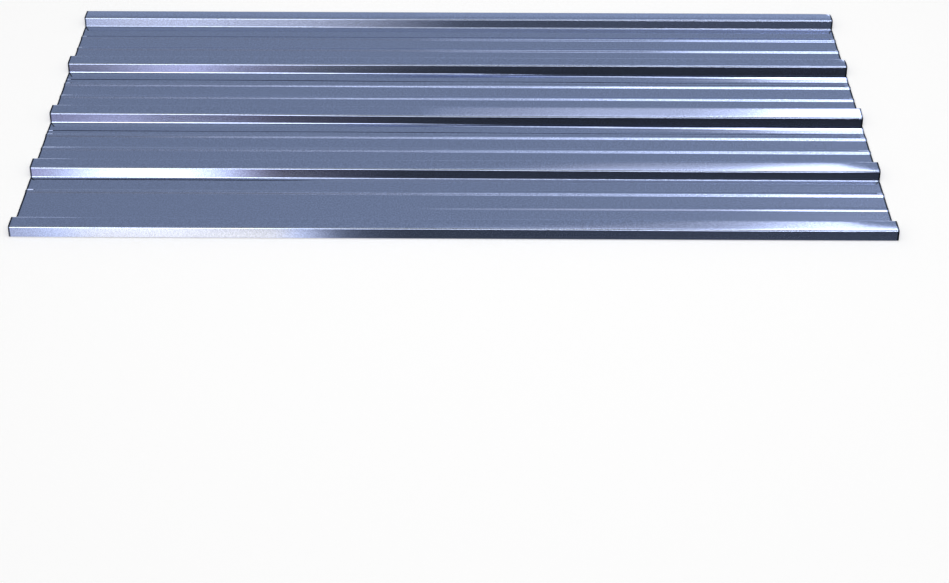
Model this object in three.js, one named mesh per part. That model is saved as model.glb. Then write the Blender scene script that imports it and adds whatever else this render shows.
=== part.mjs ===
// Corrugated metal roofing sheet: one length of thin coated steel, roll-formed to a trapezoidal section.
//
// Millimetres. X runs along the ribs, Y across the sheet and +Z up. The pans lie on Z = 0, and the
// origin is under the middle of the whole sheet. The overlap edge is towards -Y, the underlap edge
// towards +Y. Sizes of the section are taken at the middle of the metal's thickness, between the
// sharp corners that the bends round off, unless a size says otherwise.

import * as THREE from "three";

// The sheet.
const LENGTH = 2500;
const THICKNESS = 0.5;

// The ribs, one at each side edge and the rest between them.
const RIB_COUNT = 5;
const RIB_PITCH = 250;
const PROFILE_DEPTH = 28; // from the pans' underside to the top of the crests, metal included
const CREST_WIDTH = 40.5;
const WEB_RUN = 13.5; // how far a web leans out between its crest and its foot
const BEND_RADIUS = 5;

// The stiffeners, low swages pressed up in each pan.
const STIFFENERS_PER_PAN = 2;
const STIFFENER_SPACING = 61;
const STIFFENER_HEIGHT = 2.4;
const STIFFENER_BASE = 19;
const STIFFENER_CREST = 5;
const STIFFENER_BEND_RADIUS = 7;

// The side edges.
const OVERLAP_EDGE_LIFT = 1.5; // from the pans' underside to the free edge of the overlap rib
const UNDERLAP_FOOT = 12; // flat foot beside the underlap rib, from the corner to the free edge

// How finely the bends are faceted.
const DEGREES_PER_FACET = 13;

const COATED_STEEL = new THREE.MeshStandardMaterial({
  name: "coated_steel",
  color: 0x8d97ab,
  metalness: 1,
  roughness: 0.28,
});

const PAN_LEVEL = THICKNESS / 2;
const CREST_LEVEL = PROFILE_DEPTH - THICKNESS / 2;
const WEB_RISE = CREST_LEVEL - PAN_LEVEL;
const PAN_COUNT = RIB_COUNT - 1;

function corner(y, z, radius) {
  return { at: new THREE.Vector2(y, z), radius };
}

// The place of item `index` in a row of `count` that is centred on zero.
function inRow(index, count, spacing) {
  return (index - (count - 1) / 2) * spacing;
}

// The two shoulders of the rib centred on y, where its webs meet its crest.
function ribShoulders(y) {
  return [-1, 1].map((side) =>
    corner(y + (side * CREST_WIDTH) / 2, CREST_LEVEL, BEND_RADIUS),
  );
}

// The foot of the rib centred on y, on the given side of it, where its web meets the pan.
function ribFoot(y, side) {
  return corner(y + side * (CREST_WIDTH / 2 + WEB_RUN), PAN_LEVEL, BEND_RADIUS);
}

// The flat pan beyond the rib centred on y, with its stiffeners, from foot to foot.
function panCorners(y) {
  const middle = y + RIB_PITCH / 2;
  const corners = [ribFoot(y, 1)];
  for (let i = 0; i < STIFFENERS_PER_PAN; i += 1) {
    const centre = middle + inRow(i, STIFFENERS_PER_PAN, STIFFENER_SPACING);
    const steps = [
      [-STIFFENER_BASE / 2, 0],
      [-STIFFENER_CREST / 2, STIFFENER_HEIGHT],
      [STIFFENER_CREST / 2, STIFFENER_HEIGHT],
      [STIFFENER_BASE / 2, 0],
    ];
    for (const [dy, dz] of steps)
      corners.push(corner(centre + dy, PAN_LEVEL + dz, STIFFENER_BEND_RADIUS));
  }
  corners.push(ribFoot(y + RIB_PITCH, -1));
  return corners;
}

// The bend line of the whole section, from the overlap edge to the underlap edge.
function sectionCorners() {
  const first = inRow(0, RIB_COUNT, RIB_PITCH);
  const last = inRow(RIB_COUNT - 1, RIB_COUNT, RIB_PITCH);
  const edgeDrop = (CREST_LEVEL - OVERLAP_EDGE_LIFT) / WEB_RISE;
  const corners = [
    corner(
      first - CREST_WIDTH / 2 - edgeDrop * WEB_RUN,
      CREST_LEVEL - edgeDrop * WEB_RISE,
      0,
    ),
  ];
  for (let i = 0; i < RIB_COUNT; i += 1) {
    const y = inRow(i, RIB_COUNT, RIB_PITCH);
    corners.push(...ribShoulders(y));
    if (i < PAN_COUNT) corners.push(...panCorners(y));
  }
  const foot = ribFoot(last, 1);
  corners.push(foot, corner(foot.at.x + UNDERLAP_FOOT, PAN_LEVEL, 0));
  return corners;
}

// Rounds the corners to arcs and gives each point of the line with the unit normal on its upper side.
function roundedLine(corners) {
  const line = [];
  const normalTo = (direction) =>
    new THREE.Vector2(-direction.y, direction.x);
  const direction = (from, to) => to.at.clone().sub(from.at).normalize();
  const lastIndex = corners.length - 1;

  const start = normalTo(direction(corners[0], corners[1]));
  line.push({ at: corners[0].at, normal: start });
  for (let i = 1; i < lastIndex; i += 1) {
    const { at, radius } = corners[i];
    const before = direction(corners[i - 1], corners[i]);
    const after = direction(corners[i], corners[i + 1]);
    const turn = Math.atan2(before.cross(after), before.dot(after));
    const side = Math.sign(turn);
    const setback = radius * Math.tan(Math.abs(turn) / 2);
    const centre = at
      .clone()
      .addScaledVector(before, -setback)
      .addScaledVector(normalTo(before), side * radius);
    const facets = Math.ceil(
      THREE.MathUtils.radToDeg(Math.abs(turn)) / DEGREES_PER_FACET,
    );
    for (let j = 0; j <= facets; j += 1) {
      const normal = normalTo(before).rotateAround(
        new THREE.Vector2(),
        (turn * j) / facets,
      );
      line.push({
        at: centre.clone().addScaledVector(normal, -side * radius),
        normal,
      });
    }
  }
  const end = normalTo(direction(corners[lastIndex - 1], corners[lastIndex]));
  line.push({ at: corners[lastIndex].at, normal: end });
  return line;
}

// The closed outline of the metal: along its upper face, and back along its lower face.
function sectionShape(line) {
  const face = (side) =>
    line.map(({ at, normal }) =>
      at.clone().addScaledVector(normal, (side * THICKNESS) / 2),
    );
  return new THREE.Shape([...face(-1), ...face(1).reverse()]);
}

function corrugatedSheet() {
  const line = roundedLine(sectionCorners());
  const geometry = new THREE.ExtrudeGeometry(sectionShape(line), {
    depth: LENGTH,
    steps: 1,
    bevelEnabled: false,
  });
  const acrossUpAlong = new THREE.Matrix4().makeBasis(
    new THREE.Vector3(0, 1, 0),
    new THREE.Vector3(0, 0, 1),
    new THREE.Vector3(1, 0, 0),
  );
  geometry.applyMatrix4(acrossUpAlong);
  geometry.computeBoundingBox();
  const middle = geometry.boundingBox.getCenter(new THREE.Vector3());
  geometry.translate(-middle.x, -middle.y, 0);

  const mesh = new THREE.Mesh(geometry, COATED_STEEL);
  mesh.name = "corrugated_sheet";
  return mesh;
}

const model = new THREE.Group();
model.add(corrugatedSheet());

export default model;
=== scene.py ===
"""A roll-formed corrugated metal sheet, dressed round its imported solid."""

import math

import bmesh
import bpy
from bpy.props import FloatProperty, FloatVectorProperty, IntProperty, PointerProperty
from mathutils import Matrix, Vector, noise


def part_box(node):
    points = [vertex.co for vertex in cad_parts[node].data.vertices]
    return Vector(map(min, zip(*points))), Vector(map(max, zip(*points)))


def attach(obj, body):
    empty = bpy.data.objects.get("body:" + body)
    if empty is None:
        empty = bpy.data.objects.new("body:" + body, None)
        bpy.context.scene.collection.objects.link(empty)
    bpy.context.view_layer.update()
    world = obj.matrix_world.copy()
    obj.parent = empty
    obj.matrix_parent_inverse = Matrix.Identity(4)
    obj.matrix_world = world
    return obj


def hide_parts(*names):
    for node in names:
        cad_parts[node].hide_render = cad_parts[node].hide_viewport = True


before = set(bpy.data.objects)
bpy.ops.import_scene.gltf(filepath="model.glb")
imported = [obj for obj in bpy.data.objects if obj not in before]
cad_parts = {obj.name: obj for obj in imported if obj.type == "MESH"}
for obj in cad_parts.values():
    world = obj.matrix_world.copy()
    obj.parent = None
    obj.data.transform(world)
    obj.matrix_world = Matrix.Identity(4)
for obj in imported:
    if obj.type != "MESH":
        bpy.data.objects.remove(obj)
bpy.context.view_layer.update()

bl_info = {
    "name": "Corrugated Metal Sheet",
    "version": (1, 0, 0),
    "blender": (4, 5, 0),
    "location": "View3D > Sidebar > Sheet",
    "description": "Builds a roll-formed trapezoidal metal sheet and a plain studio round it",
    "category": "Add Mesh",
}

SHEET_LOW, SHEET_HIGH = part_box("corrugated_sheet")
SHEET_LENGTH = SHEET_HIGH[0] - SHEET_LOW[0]
SHEET_HEIGHT = SHEET_HIGH[2] - SHEET_LOW[2]

MM = 0.001

# The camera: where it stands, how far it looks down, and its small turn and roll, in radians.
SENSOR_WIDTH = 36.0
CAMERA_PLACE = (0.07037, -3.05975, 2.50392)
CAMERA_DIP = 0.8236
CAMERA_TURN = 0.0042
CAMERA_ROLL = 0.0017
CAMERA_REACH = 60.0

# The floor, the surround and the overhead lamp.
FLOOR_REACH = 8.0
FLOOR_GAP = 1 * MM
FLOOR_LIFT = 0.35  # what is added to the lit floor where it is seen
WORLD_LIGHT = 0.55  # the surround as a light
WORLD_SEEN = 1.0  # the surround where it is seen
LAMP_PLACE = (0.3, -0.4, 3.8)
LAMP_SIZE = (4.0, 3.0)

# Tints of the studio's cards.
WHITE = (1.0, 1.0, 1.0)
SKY = (0.85, 0.94, 1.02)
WARM = (1.04, 0.99, 0.70)
WARM_WHITE = (1.14, 1.0, 0.73)
FAINT_WARM = (1.04, 1.0, 0.92)
VIOLET = (1.0, 0.9, 1.03)

LENGTH_ROOM = 0.12 * MM  # keeps the dented ends within the solid's length

# How finely the sheet's surface is divided.
RIB_BEND_SEGMENTS = 6
STIFFENER_BEND_SEGMENTS = 3
CREST_CUTS = 5
PAN_STEP = 3.2 * MM
FLAT_RISE = 0.1  # the most that a flat part of the section rises in its width
STATIONS = 64
CUTS_NEAR_ENDS = (6 * MM, 12 * MM, 20 * MM)
STEEP_TURN = math.radians(40)  # between the turn of a stiffener's bend and that of a rib's
SHARP_ANGLE = math.radians(50)  # edges that turn more than this are shaded as sharp

# The front rib, at the overlap edge, is rib 0. Where along the sheet each crest leans towards that
# edge (start, full, hold, end, in metres along X), its share of the full lean, and its crown's share.
CREST_LEAN = {
    0: ((0.25, 0.80, 1.08, 1.23), 0.26, 0.1),
    1: ((-0.40, 0.70, 1.12, 1.26), 0.60, 0.75),
    2: ((-1.00, 0.10, 2.00, 3.00), 1.0, 0.3),
    3: ((0.60, 1.20, 2.00, 3.00), 0.15, 1.0),
    4: ((-4.00, -3.00, 2.00, 3.00), -0.27, 1.0),
}
PLAIN_CREST = ((9.0, 10.0, 11.0, 12.0), 0.0, 1.0)  # it would lean far beyond the sheet's end

# Bulges of a pan in front of a rib: where along X one starts and is full, its top's distance from
# the foot at those places, then its steep side and its gentle side as (run, share of the bulge's slope).
FOOT_BULGES = {
    2: ((-0.70, 1.00), (2.0 * MM, 13 * MM), (9 * MM, 1.15), (15 * MM, 0.66)),
    3: ((-0.40, 1.00), (2.5 * MM, 12 * MM), (8 * MM, 1.30), (16 * MM, 0.90)),
}

# The share of the foot fold that the front foot of a rib has, and between which shares of a bulge
# that foot folds fully.
FRONT_FOLD_SHARES = {4: 0.0}
FOLDING_BULGE = (0.2, 0.55)
MIDDLE_OF_BEND = 0.1  # the share of a bend's radius within which a point counts as its middle

# The share of its height that the second swage in front of a rib has, and how far its bends reach
# past its base.
SHALLOW_SWAGES = {1: 0.13}
SWAGE_MARGIN = 2 * MM

# How the pan lifts from the foot of every rib, before it sinks back, and a rib's share of the lift.
FOOT_LIFT_RUN = 24 * MM
FOOT_LIFT_END = 51 * MM
FOOT_LIFT_SHARES = {1: 0.3}

# Dents at the right-hand end of a crest's rear edge: how far in from the end, and how deep.
END_DENTS = {
    3: (26 * MM, 5 * MM),
    4: (40 * MM, 3 * MM),
}
DENT_REACH = 0.2  # how far past the middle of the crest a dent comes, in halves of its width

# The low steps where the rolls first touched the pan: distance in front of the rib's foot at the
# sheet's two ends, share of the full height, and where along X a step fades out (start and end).
ROLL_STEPS = {
    1: ((9 * MM, 9 * MM, 1.0, -0.7, -0.2),),
    2: ((38 * MM, 43 * MM, 1.6, 0.0, 3.5),),
    3: ((35 * MM, 43 * MM, 1.3, 0.0, 3.5), (100 * MM, 100 * MM, 0.2, 0.0, 1.0)),
}
ROLL_STEP_WIDTH = 6.5 * MM
ROLL_STEP_FLAT = 10 * MM  # from a step's middle to where it starts to sink back
ROLL_STEP_RUN = 70 * MM  # from a step's middle to where it has sunk back
CLOSE_CUT = 1.6 * MM  # the most between two of the closer lines that steps and bulges need

# The pans' waves: how fast they change along and across the sheet, and the slice of the noise.
WAVE_RATE = (1.1, 17.0)
WAVE_SLICE = 3.7
CALM_RUN = 10 * MM  # how far from a foot the waves reach their full height

# The finish: how dark and light the grain makes a colour, how it spreads the roughness, and how far
# in from a cut end the dark band of painted shade begins and is full.
STEEL_SHADES = (0.89, 1.11)
EDGE_SHADES = (0.6, 1.5)
ROUGHNESS_SPREAD = (0.95, 1.08)
EDGE_ROUGHNESS = (0.3, 0.6)
CUT_SHADE_BAND = (5.5 * MM, 4.5 * MM)

# The grain: how the streaks are drawn out along X, the span that each noise mostly keeps to, the
# grain's part in the relief, the relief's strength and depth, and the grain of the cut edges.
STREAK_STRETCH = (0.006, 1.0, 1.0)
GRAIN_SPAN = (0.35, 0.65)
STREAK_SPAN = (0.3, 0.7)
GRAIN_IN_RELIEF = 0.02
STEEL_RELIEF = (0.012, 0.5 * MM)
EDGE_RELIEF = (0.3, 0.05 * MM)
EDGE_GRAIN_SCALE = 2600.0

# The Mix node's sockets share their names, so they are picked by number.
FLOAT_A, FLOAT_B, COLOUR_A, COLOUR_B = 2, 3, 6, 7
FLOAT_RESULT, COLOUR_RESULT = 0, 2


class SheetShape(bpy.types.PropertyGroup):
    """Sizes of the sheet's section, at the middle of the metal and between sharp corners."""

    length: FloatProperty(
        name="Length",
        description="Length along the ribs",
        default=SHEET_LENGTH - LENGTH_ROOM,
        min=0.2,
        unit="LENGTH",
    )
    thickness: FloatProperty(
        name="Thickness",
        description="Thickness of the metal",
        default=0.5 * MM,
        min=0.2 * MM,
        precision=5,
        unit="LENGTH",
    )
    rib_count: IntProperty(
        name="Ribs",
        description="Number of ribs, one at each side edge and the rest between them",
        default=5,
        min=2,
        max=12,
    )
    rib_pitch: FloatProperty(
        name="Rib pitch",
        description="Distance between the middles of two ribs",
        default=250 * MM,
        min=0.1,
        unit="LENGTH",
    )
    depth: FloatProperty(
        name="Profile depth",
        description="Height from the pans' underside to the top of the crests",
        default=SHEET_HEIGHT,
        min=5 * MM,
        precision=4,
        unit="LENGTH",
    )
    crest_width: FloatProperty(
        name="Crest width",
        description="Width of the flat crest of a rib",
        default=40.5 * MM,
        min=5 * MM,
        precision=4,
        unit="LENGTH",
    )
    web_run: FloatProperty(
        name="Web run",
        description="How far a web leans out between its crest and its foot",
        default=13.5 * MM,
        min=1 * MM,
        precision=4,
        unit="LENGTH",
    )
    bend_radius: FloatProperty(
        name="Bend radius",
        description="Radius of the bends at a rib's shoulders and feet",
        default=5 * MM,
        min=0.5 * MM,
        precision=4,
        unit="LENGTH",
    )
    stiffeners: IntProperty(
        name="Stiffeners in a pan",
        description="Number of low swages pressed up in each pan",
        default=2,
        min=0,
        max=4,
    )
    stiffener_spacing: FloatProperty(
        name="Stiffener spacing",
        description="Distance between the stiffeners of one pan",
        default=61 * MM,
        precision=4,
        unit="LENGTH",
    )
    stiffener_height: FloatProperty(
        name="Stiffener height",
        description="Height of a stiffener above its pan",
        default=2.4 * MM,
        precision=4,
        unit="LENGTH",
    )
    stiffener_base: FloatProperty(
        name="Stiffener base",
        description="Width of a stiffener at its pan",
        default=19 * MM,
        precision=4,
        unit="LENGTH",
    )
    stiffener_crest: FloatProperty(
        name="Stiffener crest",
        description="Width of a stiffener's flat top",
        default=5 * MM,
        precision=4,
        unit="LENGTH",
    )
    stiffener_bend_radius: FloatProperty(
        name="Stiffener bend radius",
        description="Radius of the bends of a stiffener",
        default=7 * MM,
        precision=4,
        unit="LENGTH",
    )
    overlap_lift: FloatProperty(
        name="Overlap edge lift",
        description="Height of the overlap rib's free edge above the pans' underside",
        default=1.5 * MM,
        precision=4,
        unit="LENGTH",
    )
    underlap_foot: FloatProperty(
        name="Underlap foot",
        description="Width of the flat foot beside the underlap rib",
        default=12 * MM,
        precision=4,
        unit="LENGTH",
    )


class SheetForming(bpy.types.PropertyGroup):
    """What rolling, shearing and handling leave on the sheet."""

    crown: FloatProperty(
        name="Crest crown",
        description="How much the edges of a crest lie below its middle",
        default=0.3 * MM,
        precision=5,
        unit="LENGTH",
    )
    rib_roll: FloatProperty(
        name="Rib roll",
        description="Most that a crest leans towards the overlap edge",
        default=math.radians(5.6),
        subtype="ANGLE",
    )
    foot_bulge: FloatProperty(
        name="Foot bulge",
        description="Slope of the pan where it bulges in front of a rib",
        default=math.radians(6.2),
        subtype="ANGLE",
    )
    foot_lift: FloatProperty(
        name="Foot lift",
        description="Slope at which every pan lifts from the foot of its rib",
        default=math.radians(1.3),
        subtype="ANGLE",
    )
    foot_fold: FloatProperty(
        name="Foot fold",
        description="How much tighter a bend is at a rib's foot than at its shoulder",
        default=0.35,
        min=0.0,
        max=0.9,
        subtype="FACTOR",
    )
    roll_step: FloatProperty(
        name="Roll step",
        description="Height of the low step beside a stiffener",
        default=0.7 * MM,
        precision=5,
        unit="LENGTH",
    )
    waviness: FloatProperty(
        name="Pan waviness",
        description="Height of the long waves along the pans",
        default=0.08 * MM,
        precision=5,
        unit="LENGTH",
    )


class SheetFinish(bpy.types.PropertyGroup):
    """Colours and texture of the coated steel."""

    steel_colour: FloatVectorProperty(
        name="Coated steel",
        description="Colour of the metal coating",
        default=(0.35, 0.41, 0.63),
        min=0.0,
        max=1.0,
        subtype="COLOR",
    )
    # This dark colour is given to the cut edges themselves and is also painted as shade in a band along
    # the cut ends.
    cut_edge_and_shade_colour: FloatVectorProperty(
        name="Sheared edge",
        description="Colour of the bare steel at the cut edges",
        default=(0.05, 0.06, 0.09),
        min=0.0,
        max=1.0,
        subtype="COLOR",
    )
    roughness: FloatProperty(
        name="Roughness",
        description="Roughness of the coating between its streaks",
        default=0.1,
        min=0.0,
        max=1.0,
        subtype="FACTOR",
    )


class StudioLook(bpy.types.PropertyGroup):
    """Camera and light of the studio."""

    lens: FloatProperty(
        name="Lens",
        description="Focal length for a 36 mm sensor",
        default=47.917,
        min=10.0,
        unit="CAMERA",
    )
    floor_colour: FloatVectorProperty(
        name="Floor",
        description="Colour of the studio floor",
        default=(0.9, 0.9, 0.9),
        min=0.0,
        max=1.0,
        subtype="COLOR",
    )
    lamp_power: FloatProperty(
        name="Lamp power",
        description="Power of the overhead softbox",
        default=30.0,
        min=0.0,
        unit="POWER",
    )


def in_row(index, count, spacing):
    """Place of item index in a row of count that is centred on zero."""
    return (index - (count - 1) / 2) * spacing


def smooth_step(low, high, value):
    """0 below low, 1 above high and a soft S between them."""
    share = min(max((value - low) / (high - low), 0.0), 1.0)
    return share * share * (3.0 - 2.0 * share)


class Section:
    """The sheet's bend line and where its ribs and pans lie."""

    def __init__(self, shape):
        self.shape = shape
        self.pan_level = shape.thickness / 2
        self.crest_level = shape.depth - shape.thickness / 2
        self.half_crest = shape.crest_width / 2
        self.half_rib = self.half_crest + shape.web_run
        edge_drop = self.crest_level - shape.overlap_lift
        self.edge_share = edge_drop / (self.crest_level - self.pan_level)
        first, last = self.rib_line(0), self.rib_line(shape.rib_count - 1)
        front = first - self.half_crest - self.edge_share * shape.web_run
        back = last + self.half_rib + shape.underlap_foot
        # The overlap edge is cut square to its leaning web, so its outer corner reaches further out.
        web = math.atan2(self.crest_level - self.pan_level, shape.web_run)
        front -= math.sin(web) * shape.thickness / 2
        self.middle = (front + back) / 2

        pan = shape.rib_pitch - 2 * self.half_rib
        swages = (shape.stiffeners - 1) * shape.stiffener_spacing + shape.stiffener_base
        if pan <= 0 or (shape.stiffeners and swages >= pan):
            raise ValueError("The ribs and stiffeners don't fit in the rib pitch.")

    def rib_line(self, index):
        """Y of the middle of a rib, before the sheet is centred."""
        return in_row(index, self.shape.rib_count, self.shape.rib_pitch)

    def rib_middle(self, index):
        """Y of the middle of a rib in the finished sheet."""
        return self.rib_line(index) - self.middle

    def nearest_rib(self, y):
        """Index of the rib nearest to y, and y measured from its middle."""
        count = self.shape.rib_count
        index = min(range(count), key=lambda i: abs(y - self.rib_middle(i)))
        return index, y - self.rib_middle(index)

    def corners(self):
        """Y and Z of every corner from the overlap edge to the underlap edge."""
        shape = self.shape
        pan, crest = self.pan_level, self.crest_level
        drop = self.edge_share * (crest - pan)
        start = self.rib_line(0) - self.half_crest
        points = [(start - self.edge_share * shape.web_run, crest - drop)]
        for index in range(shape.rib_count):
            rib = self.rib_line(index)
            points.append((rib - self.half_crest, crest))
            points.append((rib + self.half_crest, crest))
            points.append((rib + self.half_rib, pan))
            if index == shape.rib_count - 1:
                break
            for swage in range(shape.stiffeners):
                place = in_row(swage, shape.stiffeners, shape.stiffener_spacing)
                centre = rib + shape.rib_pitch / 2 + place
                top = pan + shape.stiffener_height
                points.append((centre - shape.stiffener_base / 2, pan))
                points.append((centre - shape.stiffener_crest / 2, top))
                points.append((centre + shape.stiffener_crest / 2, top))
                points.append((centre + shape.stiffener_base / 2, pan))
            points.append((rib + shape.rib_pitch - self.half_rib, pan))
        points.append((self.rib_line(shape.rib_count - 1) + self.half_rib + shape.underlap_foot, pan))
        return [(y - self.middle, z) for y, z in points]


def runs_lengthwise(edge):
    """Whether an edge runs along the ribs."""
    along = edge.verts[1].co - edge.verts[0].co
    return abs(along.x) > abs(along.y) + abs(along.z)


def draw_bend_line(bm, section):
    """Draws the section's corners at one end of the sheet and pulls them out to its whole length."""
    half = section.shape.length / 2
    line = [bm.verts.new((-half, y, z)) for y, z in section.corners()]
    edges = [bm.edges.new(pair) for pair in zip(line, line[1:])]
    pulled = bmesh.ops.extrude_edge_only(bm, edges=edges)
    moved = [item for item in pulled["geom"] if isinstance(item, bmesh.types.BMVert)]
    bmesh.ops.translate(bm, verts=moved, vec=(section.shape.length, 0, 0))
    bmesh.ops.recalc_face_normals(bm, faces=bm.faces[:])
    if sum(face.normal.z for face in bm.faces) < 0:
        bmesh.ops.reverse_faces(bm, faces=bm.faces[:])


def round_bends(bm, shape):
    """Rounds the bends: the ribs' sharp turns and the stiffeners' shallow ones."""
    bm.normal_update()
    folds = [edge for edge in bm.edges if runs_lengthwise(edge) and len(edge.link_faces) == 2]
    ribs = [edge for edge in folds if edge.calc_face_angle() > STEEP_TURN]
    swages = [edge for edge in folds if edge.calc_face_angle() <= STEEP_TURN]
    for edges, radius, segments in (
        (ribs, shape.bend_radius, RIB_BEND_SEGMENTS),
        (swages, shape.stiffener_bend_radius, STIFFENER_BEND_SEGMENTS),
    ):
        if not edges:
            continue
        turn = edges[0].calc_face_angle()
        bmesh.ops.bevel(
            bm,
            geom=edges,
            offset=radius * math.tan(turn / 2),
            offset_type="OFFSET",
            segments=segments,
            profile=0.5,
            affect="EDGES",
            material=-1,
        )


def cut_sheet(bm, point, normal):
    """Adds a line of vertices where a plane crosses the sheet."""
    everything = bm.verts[:] + bm.edges[:] + bm.faces[:]
    bmesh.ops.bisect_plane(bm, geom=everything, plane_co=point, plane_no=normal)


def step_place(near, far, x, length):
    """Distance of a roll step from its rib's foot at a place along the sheet."""
    return near + (far - near) * (x / length + 0.5)


def close_lines(section):
    """Y of the closer lines that the surface needs along its bulges and roll steps."""
    spans = []
    for index, (_, (near, far), steep, _) in FOOT_BULGES.items():
        spans.append((index, near, far + steep[0]))
    for index, steps in ROLL_STEPS.items():
        for near, far, *_ in steps:
            spans.append((index, near - ROLL_STEP_WIDTH / 2, far + ROLL_STEP_WIDTH / 2))
    for index, first, last in spans:
        foot = section.rib_middle(index) - section.half_rib
        count = math.ceil((last - first) / CLOSE_CUT)
        for cut in range(count + 1):
            yield foot - first - (last - first) * cut / count


def divide_surface(bm, section):
    """Divides crests and pans across, and the whole sheet along its length."""
    across = [edge for edge in bm.edges if not runs_lengthwise(edge)]
    cuts_wanted = {}
    for edge in across:
        level = (edge.verts[0].co.z + edge.verts[1].co.z) / 2
        width = edge.calc_length()
        flat = abs(edge.verts[0].co.z - edge.verts[1].co.z) < FLAT_RISE * width
        if not flat or width < PAN_STEP:
            continue
        crest = level > section.shape.depth / 2
        cuts = CREST_CUTS if crest else math.ceil(width / PAN_STEP) - 1
        cuts_wanted.setdefault(cuts, []).append(edge)
    for cuts, edges in cuts_wanted.items():
        bmesh.ops.subdivide_edges(bm, edges=edges, cuts=cuts, use_grid_fill=True)
    for y in close_lines(section):
        cut_sheet(bm, (0, y, 0), (0, 1, 0))
    along = [edge for edge in bm.edges if runs_lengthwise(edge)]
    bmesh.ops.subdivide_edges(bm, edges=along, cuts=STATIONS, use_grid_fill=True)
    for inset in CUTS_NEAR_ENDS:
        for end in (-1, 1):
            cut_sheet(bm, (end * (section.shape.length / 2 - inset), 0, 0), (1, 0, 0))


def rise_and_fall(x, start, full, hold, end):
    """0 before start, 1 from full to hold and 0 again after end."""
    return smooth_step(start, full, x) * (1.0 - smooth_step(hold, end, x))


def crest_drop(index, x, across, section, forming):
    """How far the crest of a rib lies below its plain height."""
    half = section.half_crest
    place = max(-1.0, min(1.0, across / half))
    span, lean_share, crown_share = CREST_LEAN.get(index, PLAIN_CREST)
    lean = forming.rib_roll * lean_share * rise_and_fall(x, *span)
    crown = forming.crown * (1.0 + (crown_share - 1.0) * rise_and_fall(x, *span))
    low_side = math.copysign(1.0, lean)
    return crown * place * place + math.tan(abs(lean)) * half * (1.0 - low_side * place)


def bulge_share(index, x):
    """How far the bulge in front of a rib has grown at a place along the sheet, from 0 to 1."""
    if index not in FOOT_BULGES:
        return 0.0
    start, full = FOOT_BULGES[index][0]
    return max(0.0, min(1.0, (x - start) / (full - start)))


def foot_bulge(index, x, out, forming):
    """Height of the bulge of the pan in front of a rib."""
    share = bulge_share(index, x)
    if share == 0.0:
        return 0.0
    (near, far), steep, gentle = FOOT_BULGES[index][1:]
    slope = math.tan(forming.foot_bulge)
    top = near + (far - near) * share
    steep_run = steep[0] * share
    steep_height = steep_run * steep[1] * slope
    gentle_height = gentle[0] * gentle[1] * slope * share
    if out < top:
        return (steep_height + gentle_height) * out / top
    fallen = out - top
    if fallen < steep_run:
        return gentle_height + steep_height * (1.0 - fallen / steep_run)
    return gentle_height * max(1.0 - (fallen - steep_run) / gentle[0], 0.0)


def foot_lift(index, x, out, forming):
    """Height of the gentle lift of a pan in front of a rib, where it has no bulge."""
    height = math.tan(forming.foot_lift) * FOOT_LIFT_RUN
    height *= FOOT_LIFT_SHARES.get(index, 1.0) * (1.0 - bulge_share(index, x))
    if out < FOOT_LIFT_RUN:
        return height * out / FOOT_LIFT_RUN
    return height * max(1.0 - (out - FOOT_LIFT_RUN) / (FOOT_LIFT_END - FOOT_LIFT_RUN), 0.0)


def swage_share(index, out, section):
    """How much of its height a swage has at a distance from its rib's foot."""
    shape = section.shape
    centre = shape.rib_pitch / 2 - section.half_rib + shape.stiffener_spacing / 2
    if abs(out - centre) > shape.stiffener_base / 2 + SWAGE_MARGIN:
        return 1.0
    return SHALLOW_SWAGES.get(index, 1.0)


def end_dent(index, x, place, section):
    """How deep a dent at the end of a crest's rear edge is."""
    if index not in END_DENTS:
        return 0.0
    inset, depth = END_DENTS[index]
    near_end = max(x - (section.shape.length / 2 - inset), 0.0) / inset
    return depth * near_end**2 * max((place + DENT_REACH) / (1.0 + DENT_REACH), 0.0) ** 2


def step_lift(index, x, out, section, forming):
    """Height of the low steps that the swage rolls leave in front of a rib."""
    lift = 0.0
    for near, far, share, fade_start, fade_end in ROLL_STEPS.get(index, ()):
        start = step_place(near, far, x, section.shape.length)
        climb = smooth_step(start - ROLL_STEP_WIDTH / 2, start + ROLL_STEP_WIDTH / 2, out)
        fall = 1.0 - smooth_step(start + ROLL_STEP_FLAT, start + ROLL_STEP_RUN, out)
        fade = 1.0 - smooth_step(fade_start, fade_end, x)
        lift += forming.roll_step * share * climb * fall * fade
    return lift


def lean_crest(vert, index, across, section, forming):
    """Lowers a rib's crest by its lean and crown; its edges slide down along the webs' own planes."""
    drop = crest_drop(index, vert.co.x, across, section, forming)
    place = max(-1.0, min(1.0, across / section.half_crest))
    rise = section.crest_level - section.pan_level
    drop += end_dent(index, vert.co.x, place, section)
    vert.co.z -= drop
    vert.co.y += place * drop * section.shape.web_run / rise


def tighten_fold(vert, out, share, toward, section):
    """Draws a point of a foot's bend towards the sharp corner, and the middle one across to it too."""
    shape = section.shape
    rise = section.crest_level - section.pan_level
    turn = math.atan2(rise, shape.web_run)
    middle = shape.bend_radius * (math.tan(turn / 2) - math.sin(turn / 2))
    if abs(out - middle) < MIDDLE_OF_BEND * shape.bend_radius:
        vert.co.y += toward * out * share
        out -= out * share
    sharp = section.pan_level + max(-out, 0.0) * rise / shape.web_run
    vert.co.z = sharp + (vert.co.z - sharp) * (1.0 - share)


def fold_foot(vert, index, out, behind, section, forming):
    """Folds the metal tighter at the foot of a rib, and fully where a bulge stands in front of it."""
    share = forming.foot_fold
    if not behind:
        share *= FRONT_FOLD_SHARES.get(index, 1.0)
        share += (1.0 - share) * smooth_step(*FOLDING_BULGE, bulge_share(index, vert.co.x))
    tighten_fold(vert, out, share, -1 if behind else 1, section)


def pan_wave(x, y, from_foot, forming):
    """Height of the long waves of a pan, which die away at the ribs' feet."""
    wave = noise.noise(Vector((x * WAVE_RATE[0], y * WAVE_RATE[1], WAVE_SLICE)))
    return forming.waviness * (0.5 + 0.5 * wave) * smooth_step(0.0, CALM_RUN, from_foot)


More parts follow.
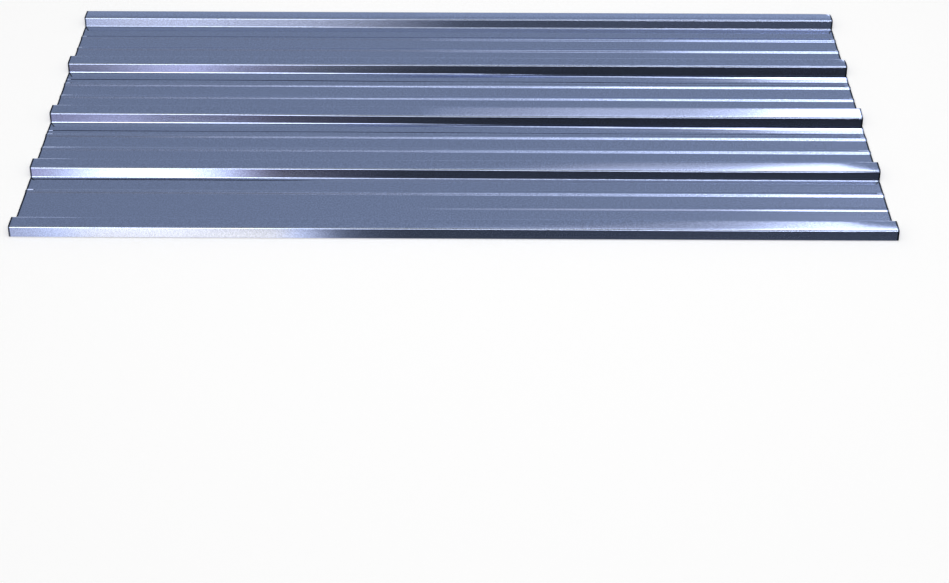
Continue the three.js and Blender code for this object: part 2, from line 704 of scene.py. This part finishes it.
def form_surface(bm, section, forming):
    """Moves the surface by what the rolls, the shear and handling leave in the metal."""
    middle_level = (section.crest_level + section.pan_level) / 2
    shape = section.shape
    for vert in bm.verts:
        x, y, z = vert.co
        index, across = section.nearest_rib(y)
        if z > middle_level:
            lean_crest(vert, index, across, section, forming)
            continue
        from_foot = abs(across) - section.half_rib
        behind = across > 0
        if abs(from_foot) < shape.bend_radius:
            fold_foot(vert, index, from_foot, behind, section, forming)
        # A pan belongs to the rib behind it, and the underlap foot has none.
        source, out = index, from_foot
        if behind:
            source = index + 1
            if source < shape.rib_count:
                out = shape.rib_pitch - across - section.half_rib
        if out > 0:
            share = swage_share(source, out, section)
            vert.co.z = section.pan_level + (vert.co.z - section.pan_level) * share
            lift = pan_wave(x, y, abs(from_foot), forming)
            lift += step_lift(source, x, out, section, forming)
            lift += foot_bulge(source, x, out, forming)
            if source < shape.rib_count:
                lift += foot_lift(source, x, out, forming)
            vert.co.z += lift


def give_thickness(mesh, shape):
    """Returns a mesh with the metal's thickness, its cut edges in the second material."""
    skin = bpy.data.objects.new("skin", mesh)
    bpy.context.scene.collection.objects.link(skin)
    wall = skin.modifiers.new("Metal", "SOLIDIFY")
    wall.thickness = shape.thickness
    wall.offset = 0.0
    wall.use_even_offset = True
    wall.material_offset_rim = 1
    depsgraph = bpy.context.evaluated_depsgraph_get()
    solid = bpy.data.meshes.new_from_object(skin.evaluated_get(depsgraph))
    bpy.data.objects.remove(skin)
    bpy.data.meshes.remove(mesh)
    return solid


def sheet_mesh(shape, forming, materials):
    """The whole sheet as one closed mesh."""
    section = Section(shape)
    bm = bmesh.new()
    draw_bend_line(bm, section)
    round_bends(bm, shape)
    divide_surface(bm, section)
    form_surface(bm, section, forming)
    for face in bm.faces:
        face.smooth = True
    mesh = bpy.data.meshes.new("sheet_skin")
    bm.to_mesh(mesh)
    bm.free()
    for material in materials:
        mesh.materials.append(material)
    solid = give_thickness(mesh, shape)
    solid.name = "corrugated_sheet_skin"
    solid.set_sharp_from_angle(angle=SHARP_ANGLE)
    return solid


def node(tree, kind, place, **settings):
    """A new shader node with its settings."""
    made = tree.nodes.new(kind)
    made.location = place
    for name, value in settings.items():
        setattr(made, name, value)
    return made


def ramp_stops(ramp, stops):
    """Sets a colour ramp's stops from (position, colour) pairs."""
    elements = ramp.color_ramp.elements
    while len(elements) > 1:
        elements.remove(elements[-1])
    for count, (position, colour) in enumerate(stops):
        element = elements[0] if count == 0 else elements.new(position)
        element.position = position
        element.color = (*colour, 1.0)


def noise_texture(tree, vector, scale, detail, place):
    """A noise over a vector, at a scale that comes from a socket."""
    made = node(tree, "ShaderNodeTexNoise", place)
    made.inputs["Detail"].default_value = detail
    tree.links.new(vector, made.inputs["Vector"])
    tree.links.new(scale, made.inputs["Scale"])
    return made.outputs["Fac"]


def rolled_grain_group():
    """Grain of a rolled metal coating: fine grain and long streaks."""
    tree = bpy.data.node_groups.new("Rolled grain", "ShaderNodeTree")
    ports = tree.interface
    ports.new_socket("Coordinates", in_out="INPUT", socket_type="NodeSocketVector")
    for name, value in (("Grain scale", 230.0), ("Streak scale", 150.0)):
        port = ports.new_socket(name, in_out="INPUT", socket_type="NodeSocketFloat")
        port.default_value = value
    for name in ("Grain", "Streak", "Height"):
        ports.new_socket(name, in_out="OUTPUT", socket_type="NodeSocketFloat")
    inside = node(tree, "NodeGroupInput", (-900, 0)).outputs
    outside = node(tree, "NodeGroupOutput", (500, 0)).inputs
    link = tree.links.new

    grain = noise_texture(tree, inside["Coordinates"], inside["Grain scale"], 3.0, (-400, 300))
    along = node(tree, "ShaderNodeMapping", (-650, 0))
    along.inputs["Scale"].default_value = STREAK_STRETCH
    link(inside["Coordinates"], along.inputs["Vector"])
    streak = noise_texture(tree, along.outputs["Vector"], inside["Streak scale"], 4.0, (-400, 0))

    height = node(tree, "ShaderNodeMix", (200, -150), data_type="FLOAT")
    height.inputs["Factor"].default_value = GRAIN_IN_RELIEF
    link(streak, height.inputs[FLOAT_A])
    link(grain, height.inputs[FLOAT_B])

    link(grain, outside["Grain"])
    link(streak, outside["Streak"])
    link(height.outputs[FLOAT_RESULT], outside["Height"])
    return tree


def shaded(tree, colour, factor, shades, place):
    """A colour made darker and lighter between two shades by a factor."""
    dark = tuple(channel * shades[0] for channel in colour)
    light = tuple(min(channel * shades[1], 1.0) for channel in colour)
    mix = node(tree, "ShaderNodeMix", place, data_type="RGBA")
    mix.inputs[COLOUR_A].default_value = (*dark, 1.0)
    mix.inputs[COLOUR_B].default_value = (*light, 1.0)
    tree.links.new(factor, mix.inputs["Factor"])
    return mix.outputs[COLOUR_RESULT]


def mapped(tree, value, place, source=(0.0, 1.0), result=(0.0, 1.0)):
    """A value taken from one range to another."""
    span = node(tree, "ShaderNodeMapRange", place)
    span.inputs["From Min"].default_value, span.inputs["From Max"].default_value = source
    span.inputs["To Min"].default_value, span.inputs["To Max"].default_value = result
    tree.links.new(value, span.inputs["Value"])
    return span.outputs["Result"]


def grained_metal(name, grain_group):
    """A bare metal, its object coordinates and its grain, which aren't joined to the shader yet."""
    material = bpy.data.materials.new(name)
    material.use_nodes = True
    tree = material.node_tree
    tree.nodes["Principled BSDF"].inputs["Metallic"].default_value = 1.0
    coordinates = node(tree, "ShaderNodeTexCoord", (-1300, 0))
    grain = node(tree, "ShaderNodeGroup", (-1000, 0), node_tree=grain_group)
    tree.links.new(coordinates.outputs["Object"], grain.inputs["Coordinates"])
    return material, coordinates, grain


def add_relief(tree, height, strength, distance):
    """Gives the shader the relief of a height."""
    bump = node(tree, "ShaderNodeBump", (-300, -400))
    bump.inputs["Strength"].default_value = strength
    bump.inputs["Distance"].default_value = distance
    tree.links.new(height, bump.inputs["Height"])
    tree.links.new(bump.outputs["Normal"], tree.nodes["Principled BSDF"].inputs["Normal"])


def coated_steel(finish, shape, grain_group):
    """The rolled coating of the sheet's faces, with painted shade darkening a band along the cut ends.
    """
    material, coordinates, grain = grained_metal("Coated steel", grain_group)
    tree = material.node_tree
    shader = tree.nodes["Principled BSDF"]
    link = tree.links.new
    spread = mapped(tree, grain.outputs["Grain"], (-750, 250), source=GRAIN_SPAN)
    body = shaded(tree, finish.steel_colour, spread, STEEL_SHADES, (-500, 250))

    # Painted shade: a narrow band along the cut ends is darkened to the cut edges' dark colour.
    apart = node(tree, "ShaderNodeSeparateXYZ", (-1000, 500))
    link(coordinates.outputs["Object"], apart.inputs["Vector"])
    distance = node(tree, "ShaderNodeMath", (-800, 500), operation="ABSOLUTE")
    link(apart.outputs["X"], distance.inputs[0])
    shade_band_ends = [shape.length / 2 - inset for inset in CUT_SHADE_BAND]
    shade_band = mapped(tree, distance.outputs["Value"], (-600, 500), source=shade_band_ends)
    edge = node(tree, "ShaderNodeMix", (-200, 250), data_type="RGBA")
    edge.inputs[COLOUR_B].default_value = (*finish.cut_edge_and_shade_colour, 1.0)
    link(shade_band, edge.inputs["Factor"])
    link(body, edge.inputs[COLOUR_A])
    link(edge.outputs[COLOUR_RESULT], shader.inputs["Base Color"])

    roughness = [finish.roughness * share for share in ROUGHNESS_SPREAD]
    rough = mapped(tree, grain.outputs["Streak"], (-500, -100), STREAK_SPAN, roughness)
    link(rough, shader.inputs["Roughness"])
    add_relief(tree, grain.outputs["Height"], *STEEL_RELIEF)
    return material


def sheared_edge(finish, grain_group):
    """Bare steel at the cut edges."""
    material, _, grain = grained_metal("Sheared edge", grain_group)
    tree = material.node_tree
    shader = tree.nodes["Principled BSDF"]
    grain.inputs["Grain scale"].default_value = EDGE_GRAIN_SCALE
    body = shaded(tree, finish.cut_edge_and_shade_colour, grain.outputs["Grain"], EDGE_SHADES, (-500, 250))
    tree.links.new(body, shader.inputs["Base Color"])
    rough = mapped(tree, grain.outputs["Grain"], (-500, -100), result=EDGE_ROUGHNESS)
    tree.links.new(rough, shader.inputs["Roughness"])
    add_relief(tree, grain.outputs["Height"], *EDGE_RELIEF)
    return material


class SHEET_OT_corrugated_sheet(bpy.types.Operator):
    """Builds the roll-formed sheet in place of its plain solid"""

    bl_idname = "sheet.corrugated_sheet"
    bl_label = "Corrugated Sheet"

    def execute(self, context):
        scene = context.scene
        shape = scene.sheet_shape
        grain_group = rolled_grain_group()
        materials = [
            coated_steel(scene.sheet_finish, shape, grain_group),
            sheared_edge(scene.sheet_finish, grain_group),
        ]
        mesh = sheet_mesh(shape, scene.sheet_forming, materials)
        piece = bpy.data.objects.new("roll_formed_sheet", mesh)
        scene.collection.objects.link(piece)
        even = piece.modifiers.new("Even shading", "WEIGHTED_NORMAL")
        even.keep_sharp = True
        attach(piece, "root")
        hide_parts("corrugated_sheet")
        return {"FINISHED"}


def glowing(name, strength=1.0, tint=WHITE, across=None):
    """A card's own light; across gives stops of (position, brightness[, tint]) along its width."""
    material = bpy.data.materials.new(name)
    material.use_nodes = True
    tree = material.node_tree
    tree.nodes.clear()
    out = node(tree, "ShaderNodeOutputMaterial", (400, 0))
    glow = node(tree, "ShaderNodeEmission", (200, 0))
    glow.inputs["Color"].default_value = (*tint, 1.0)
    glow.inputs["Strength"].default_value = strength
    if across:
        stops = []
        for position, brightness, *own_tint in across:
            colour = own_tint[0] if own_tint else tint
            stops.append((position, tuple(brightness * channel for channel in colour)))
        peak = max(max(colour) for _, colour in stops)
        place = node(tree, "ShaderNodeTexCoord", (-600, 0))
        apart = node(tree, "ShaderNodeSeparateXYZ", (-400, 0))
        ramp = node(tree, "ShaderNodeValToRGB", (-200, 0))
        shares = [(position, tuple(channel / peak for channel in colour)) for position, colour in stops]
        ramp_stops(ramp, shares)
        glow.inputs["Strength"].default_value = strength * peak
        tree.links.new(place.outputs["UV"], apart.inputs["Vector"])
        tree.links.new(apart.outputs["X"], ramp.inputs["Fac"])
        tree.links.new(ramp.outputs["Color"], glow.inputs["Color"])
    tree.links.new(glow.outputs["Emission"], out.inputs["Surface"])
    return material


def card(name, left, right, low, high, material):
    """A flat card between two ends and two sides, seen only in reflections."""
    bm = bmesh.new()
    corners = ((left, *low), (right, *low), (right, *high), (left, *high))
    face = bm.faces.new([bm.verts.new(corner) for corner in corners])
    layer = bm.loops.layers.uv.new("UVMap")
    for loop, corner in zip(face.loops, ((0, 0), (1, 0), (1, 1), (0, 1))):
        loop[layer].uv = corner
    mesh = bpy.data.meshes.new(name)
    bm.to_mesh(mesh)
    bm.free()
    mesh.materials.append(material)
    made = bpy.data.objects.new(name, mesh)
    bpy.context.scene.collection.objects.link(made)
    made.visible_camera = False
    made.visible_diffuse = False
    made.visible_shadow = False


def strip_card(name, left, right, low, high, stops):
    """A card whose brightness changes along the sheet, in stops of (X, brightness[, tint])."""
    placed = [((x - left) / (right - left), *light) for x, *light in stops]
    card(name, left, right, low, high, glowing(name, across=placed))


def seen_rays(tree):
    """Picks out what the camera sees, straight or by way of metal or glass."""
    rays = node(tree, "ShaderNodeLightPath", (-900, -300))
    seen = rays.outputs["Is Camera Ray"]
    for place, kind in (((-700, -300), "Is Glossy Ray"), ((-500, -300), "Is Transmission Ray")):
        either = node(tree, "ShaderNodeMath", place, operation="MAXIMUM")
        tree.links.new(seen, either.inputs[0])
        tree.links.new(rays.outputs[kind], either.inputs[1])
        seen = either.outputs["Value"]
    return seen


def studio_floor(colour):
    """A wide pale floor that keeps the sheet's shadow."""
    bm = bmesh.new()
    bmesh.ops.create_grid(bm, x_segments=1, y_segments=1, size=FLOOR_REACH)
    mesh = bpy.data.meshes.new("studio_floor")
    bm.to_mesh(mesh)
    bm.free()
    floor = bpy.data.objects.new("studio_floor", mesh)
    floor.location.z = -FLOOR_GAP
    bpy.context.scene.collection.objects.link(floor)

    material = bpy.data.materials.new("Studio floor")
    material.use_nodes = True
    tree = material.node_tree
    shader = tree.nodes["Principled BSDF"]
    shader.inputs["Base Color"].default_value = (*colour, 1.0)
    shader.inputs["Roughness"].default_value = 0.9
    shader.inputs["Specular IOR Level"].default_value = 0.0
    shader.inputs["Emission Color"].default_value = (*WHITE, 1.0)
    lift = mapped(tree, seen_rays(tree), (-300, -300), result=(0.0, FLOOR_LIFT))
    tree.links.new(lift, shader.inputs["Emission Strength"])
    mesh.materials.append(material)


def studio_world():
    """A white surround for the camera and for reflections, and a dimmer one for the floor."""
    world = bpy.data.worlds.new("Studio")
    bpy.context.scene.world = world
    world.use_nodes = True
    tree = world.node_tree
    back = tree.nodes["Background"]
    back.inputs["Color"].default_value = (*WHITE, 1.0)
    level = mapped(tree, seen_rays(tree), (-300, 0), result=(WORLD_LIGHT, WORLD_SEEN))
    tree.links.new(level, back.inputs["Strength"])


# The studio's cards. A side of a card is given by its (Y, Z), and its ends by their X.

# Behind the sheet, near at the left and far off at the right: name, ends, lower and upper side,
# brightness, tint, and stops of (share of the width, brightness).
BACK_CARDS = (
    ("back_board_left_low", -5.5, -0.3, (4.0, -0.2), (3.86, 2.28), 0.6, SKY, ((0.0, 0.9), (1.0, 1.0))),
    ("back_board_left", -5.5, -0.3, (3.86, 2.28), (3.6, 7.0), 0.47, SKY, ((0.0, 0.88), (1.0, 1.0))),
    ("back_glow_left", -5.5, -2.5, (3.9, 0.55), (3.9, 1.4), 2.2, WHITE, None),
    ("back_board_right_low", -3.0, 12.0, (12.0, -0.3), (12.0, 7.5), 0.76, SKY, (
        (0.2, 0.88), (0.6, 1.0), (1.0, 1.0),
    )),
    ("back_board_right", -3.0, 12.0, (12.0, 7.5), (12.0, 12.85), 0.53, SKY, (
        (0.2, 0.88), (0.6, 0.96), (1.0, 1.0),
    )),
    ("back_glow_right", 4.9, 12.0, (11.9, 2.0), (11.9, 4.2), 2.5, WHITE, None),
)

# A dark card just over the floor behind the sheet: name, ends, front and rear side, brightness.
FLOOR_FLAG = ("back_floor_flag", -4.0, 4.0, (0.62, 0.002), (3.8, 0.002), 0.05)

# The stops of all cards below are (X, brightness), with a tint where the light has one.

# Far behind the sheet, from low to high: name, lower side, upper side and stops.
FAR_CARD_ENDS = (-3.0, 13.0)
FAR_CARDS = (
    ("back_softbox_low", (12.0, 12.85), (11.6, 13.4), (
        (-3.0, 0.49, SKY), (0.4, 0.55, SKY), (2.1, 0.63), (3.6, 0.66), (4.6, 0.8), (5.3, 1.4),
        (6.1, 2.6),
    )),
    ("back_softbox", (11.6, 13.4), (11.0, 14.1), (
        (-3.0, 0.5, SKY), (-1.1, 0.56, SKY), (0.4, 0.7), (2.1, 1.1), (3.6, 1.2), (4.6, 1.9),
        (5.3, 4.3),
    )),
    ("back_softbox_high", (11.0, 14.1), (9.9, 15.4), (
        (-3.0, 0.55, SKY), (-1.1, 1.1), (0.4, 1.8), (2.1, 2.1), (3.6, 2.3), (4.6, 4.0), (5.3, 6.0),
    )),
    ("back_board_high", (9.9, 15.4), (8.0, 18.0), (
        (-1.1, 0.8, SKY), (0.4, 1.0, SKY), (3.6, 2.0, SKY), (5.3, 3.0, SKY),
    )),
)

# Over the sheet, a board: name, ends, rear and front side, and stops.
OVERHEAD_BOARD = ("overhead_board_high", -3.4, 3.4, (2.7, 4.95), (0.33, 4.95), (
    (-0.43, 0.46, SKY), (0.5, 0.8, SKY), (2.66, 1.2, SKY),
))

# Under it, from back to front, one strip for the front slope of each swage but the last, and one
# that closes the gap before the next board: rear and front Y, half the width, and stops.
OVERHEAD_HEIGHT = 4.9
OVERHEAD_STRIPS = (
    (1.92, 1.79, 3.4, (
        (-0.43, 0.43), (0.08, 0.5), (1.3, 0.45), (1.65, 2.2), (2.23, 1.6), (2.75, 1.2), (3.2, 4.0),
    )),
    (1.79, 1.67, 3.4, (
        (-1.0, 0.43), (-0.43, 0.6), (0.27, 0.8), (0.76, 0.5), (1.25, 0.55), (1.74, 3.4), (2.66, 4.5),
    )),
    (1.36, 1.24, 3.4, (
        (-2.4, 0.3), (-1.6, 0.55), (-0.67, 1.5), (0.27, 1.1), (0.74, 1.8), (1.21, 4.0), (2.2, 3.6),
        (3.1, 7.0),
    )),
    (1.235, 1.13, 3.4, (
        (-3.3, 0.5), (-2.2, 2.0), (-1.6, 2.2), (-0.67, 3.3), (0.27, 2.9), (0.74, 4.0), (1.4, 6.5),
        (2.4, 5.5), (3.1, 9.0),
    )),
    (0.88, 0.78, 3.4, (
        (-2.0, 0.3), (-0.64, 0.75), (0.71, 1.0), (1.16, 1.5), (1.61, 2.9), (2.6, 2.6), (3.0, 5.0),
    )),
    (0.77, 0.64, 3.4, (
        (-3.0, 0.3), (-2.26, 0.45), (-1.54, 1.4), (-0.64, 1.8), (0.26, 3.0), (1.16, 4.6),
        (1.61, 6.5), (2.6, 7.0), (3.0, 9.0),
    )),
    (0.53, 0.40, 4.2, (
        (-1.1, 0.3), (0.26, 0.35), (1.12, 0.4), (1.55, 0.6), (1.98, 2.4), (2.49, 7.5), (2.84, 9.0),
    )),
    (0.40, 0.20, 3.4, (
        (-0.8, 0.47, SKY), (0.08, 0.55), (0.92, 0.5), (1.6, 0.55), (2.1, 0.8), (2.66, 0.85),
    )),
)

# From over the sheet down to the front, each hanging from the one before: name, half the width,
# lower side and stops. The pans mirror them close to a rib, by way of its web, and so do the back
# slopes of the swages.
FRONT_CHAIN_START = (0.20, OVERHEAD_HEIGHT)
FRONT_CHAIN = (
    ("overhead_board", 3.4, (-0.60, OVERHEAD_HEIGHT), ((-1.0, 1.12, WARM), (1.0, 1.0, WARM))),
    ("front_flag", 3.4, (-1.88, 3.92), ((-3.0, 0.08), (3.0, 0.08))),
    ("front_board_top", 3.4, (-2.28, 3.45), ((-1.0, 1.3, WARM), (0.5, 0.95, WARM))),
    ("front_board", 3.4, (-3.0, 2.6), ((0.0, 0.95, WARM), (1.0, 0.95, WARM))),
    ("front_softbox", 3.6, (-3.3, 2.17), (
        (-1.1, 7.0), (-0.8, 4.8), (-0.5, 3.6), (-0.1, 4.0), (0.2, 5.5), (0.8, 6.5), (1.4, 9.0),
    )),
    ("front_softbox_low", 3.6, (-3.7, 1.6), (
        (-1.1, 7.0), (-0.8, 4.5), (-0.5, 2.6), (-0.3, 1.8), (0.1, 0.8), (0.6, 0.3), (1.2, 0.2),
    )),
)

# In front of the sheet, one strip for the web of each rib, the overlap rib's lowest: lower and
# upper Z, and stops.
WEB_STRIPS_AT = -3.5
WEB_STRIPS_REACH = 3.8
WEB_STRIPS = (
    (-0.10, 0.50, (
        (-2.3, 1.04), (-2.1, 1.47), (-1.89, 1.86, WARM_WHITE), (-1.58, 2.03, WARM_WHITE),
        (-1.17, 2.1, WARM_WHITE), (-0.96, 2.0, WARM_WHITE), (-0.88, 1.8), (-0.77, 1.0),
        (-0.67, 0.4, SKY), (-0.57, 0.22, SKY), (-0.34, 0.12, SKY), (0.2, 0.12, SKY), (1.5, 0.14, SKY),
    )),
    (0.50, 0.70, (
        (-2.34, 0.95, VIOLET), (-2.23, 1.5), (-2.12, 2.5), (-1.98, 3.8), (-1.6, 4.0), (-1.36, 2.2),
        (-1.21, 0.9, VIOLET), (-1.06, 0.16, VIOLET), (-0.34, 0.07, SKY), (1.5, 0.08, SKY),
    )),
    (0.70, 0.90, (
        (-2.4, 0.62, VIOLET), (-2.16, 0.8, VIOLET), (-1.98, 0.72, VIOLET), (-1.82, 0.24, VIOLET),
        (-1.33, 0.23, VIOLET), (-1.1, 0.145, VIOLET), (-0.95, 0.12, VIOLET), (-0.36, 0.062, SKY),
        (0.3, 0.05, SKY), (1.5, 0.048, SKY),
    )),
    (0.90, 1.12, (
        (-2.5, 0.25, VIOLET), (-2.32, 0.3, VIOLET), (-2.13, 0.58, VIOLET), (-1.94, 1.0, VIOLET),
        (-1.69, 1.2, VIOLET), (-1.44, 0.58, VIOLET), (-1.19, 0.3, VIOLET), (-0.93, 0.13, SKY),
        (-0.39, 0.044, SKY), (1.5, 0.04, SKY),
    )),
    (1.12, 1.60, (
        (-2.6, 1.05), (-2.29, 1.2, FAINT_WARM), (-1.97, 1.33, FAINT_WARM), (-1.58, 1.12, FAINT_WARM),
        (-1.06, 0.95, FAINT_WARM), (-0.41, 0.38), (-0.1, 0.18, SKY), (0.2, 0.16, SKY),
        (1.5, 0.17, SKY),
    )),
)


def back_cards():
    """Boards behind the sheet for its pans and crests, and a softbox far off at the right."""
    for name, *sides, strength, tint, across in BACK_CARDS:
        card(name, *sides, glowing(name, strength, tint, across))
    for name, low, high, stops in FAR_CARDS:
        strip_card(name, *FAR_CARD_ENDS, low, high, stops)
    name, *sides, strength = FLOOR_FLAG
    card(name, *sides, glowing(name, strength))


def overhead_cards():
    """A board over the sheet, and under it the strips for the swages."""
    strip_card(*OVERHEAD_BOARD)
    for number, (rear, front, half_width, stops) in enumerate(OVERHEAD_STRIPS):
        sides = ((rear, OVERHEAD_HEIGHT), (front, OVERHEAD_HEIGHT))
        strip_card(f"overhead_strip_{number}", -half_width, half_width, *sides, stops)


def front_cards():
    """The cards that hang in front of the sheet, and the strips for the ribs' webs."""
    upper = FRONT_CHAIN_START
    for name, half_width, lower, stops in FRONT_CHAIN:
        strip_card(name, -half_width, half_width, upper, lower, stops)
        upper = lower
    for number, (low, high, stops) in enumerate(WEB_STRIPS):
        sides = ((WEB_STRIPS_AT, low), (WEB_STRIPS_AT, high))
        strip_card(f"front_strip_{number}", -WEB_STRIPS_REACH, WEB_STRIPS_REACH, *sides, stops)


def studio_lamp(power):
    """A wide overhead lamp for the floor and its soft shadow."""
    data = bpy.data.lights.new("overhead_lamp", "AREA")
    data.shape = "RECTANGLE"
    data.size, data.size_y = LAMP_SIZE
    data.energy = power
    lamp = bpy.data.objects.new("overhead_lamp", data)
    lamp.location = LAMP_PLACE
    lamp.visible_glossy = False
    bpy.context.scene.collection.objects.link(lamp)


def studio_camera(lens):
    """The camera, standing in front of the overlap edge and looking down on the sheet."""
    data = bpy.data.cameras.new("camera")
    data.sensor_width = SENSOR_WIDTH
    data.lens = lens
    data.clip_end = CAMERA_REACH
    camera = bpy.data.objects.new("camera", data)
    tilt = Matrix.Rotation(math.pi / 2 - CAMERA_DIP, 4, "X")
    turn = Matrix.Rotation(CAMERA_TURN, 4, "Z")
    roll = Matrix.Rotation(CAMERA_ROLL, 4, "Z")
    place = Matrix.Translation(CAMERA_PLACE)
    camera.matrix_world = place @ turn @ tilt @ roll
    bpy.context.scene.collection.objects.link(camera)
    bpy.context.scene.camera = camera


class SHEET_OT_studio(bpy.types.Operator):
    """Sets up the floor, the surround, the cards, the lamp and the camera"""

    bl_idname = "sheet.studio"
    bl_label = "Studio"

    def execute(self, context):
        look = context.scene.sheet_studio
        context.scene.view_settings.view_transform = "Standard"
        studio_floor(look.floor_colour)
        studio_world()
        back_cards()
        overhead_cards()
        front_cards()
        studio_lamp(look.lamp_power)
        studio_camera(look.lens)
        return {"FINISHED"}


class SHEET_PT_panel(bpy.types.Panel):
    """Lists the sheet's pieces and their sizes and colours"""

    bl_idname = "SHEET_PT_panel"
    bl_label = "Corrugated Sheet"
    bl_space_type = "VIEW_3D"
    bl_region_type = "UI"
    bl_category = "Sheet"

    def draw(self, context):
        layout = self.layout
        scene = context.scene
        for title, group, operator in (
            ("Section", scene.sheet_shape, None),
            ("Forming", scene.sheet_forming, None),
            ("Finish", scene.sheet_finish, "sheet.corrugated_sheet"),
            ("Studio", scene.sheet_studio, "sheet.studio"),
        ):
            box = layout.box()
            box.label(text=title)
            for name in group.__annotations__:
                box.prop(group, name)
            if operator:
                box.operator(operator)


GROUPS = {
    "sheet_shape": SheetShape,
    "sheet_forming": SheetForming,
    "sheet_finish": SheetFinish,
    "sheet_studio": StudioLook,
}
CLASSES = (*GROUPS.values(), SHEET_OT_corrugated_sheet, SHEET_OT_studio, SHEET_PT_panel)


def register():
    """Registers the classes and gives the scene its groups of settings."""
    for cls in CLASSES:
        bpy.utils.register_class(cls)
    for name, cls in GROUPS.items():
        setattr(bpy.types.Scene, name, PointerProperty(type=cls))


def unregister():
    """Takes the groups of settings and the classes away again."""
    for name in GROUPS:
        delattr(bpy.types.Scene, name)
    for cls in reversed(CLASSES):
        bpy.utils.unregister_class(cls)


def main():
    """Builds the sheet and its studio."""
    register()
    bpy.ops.sheet.corrugated_sheet()
    bpy.ops.sheet.studio()


if __name__ == "__main__":
    main()
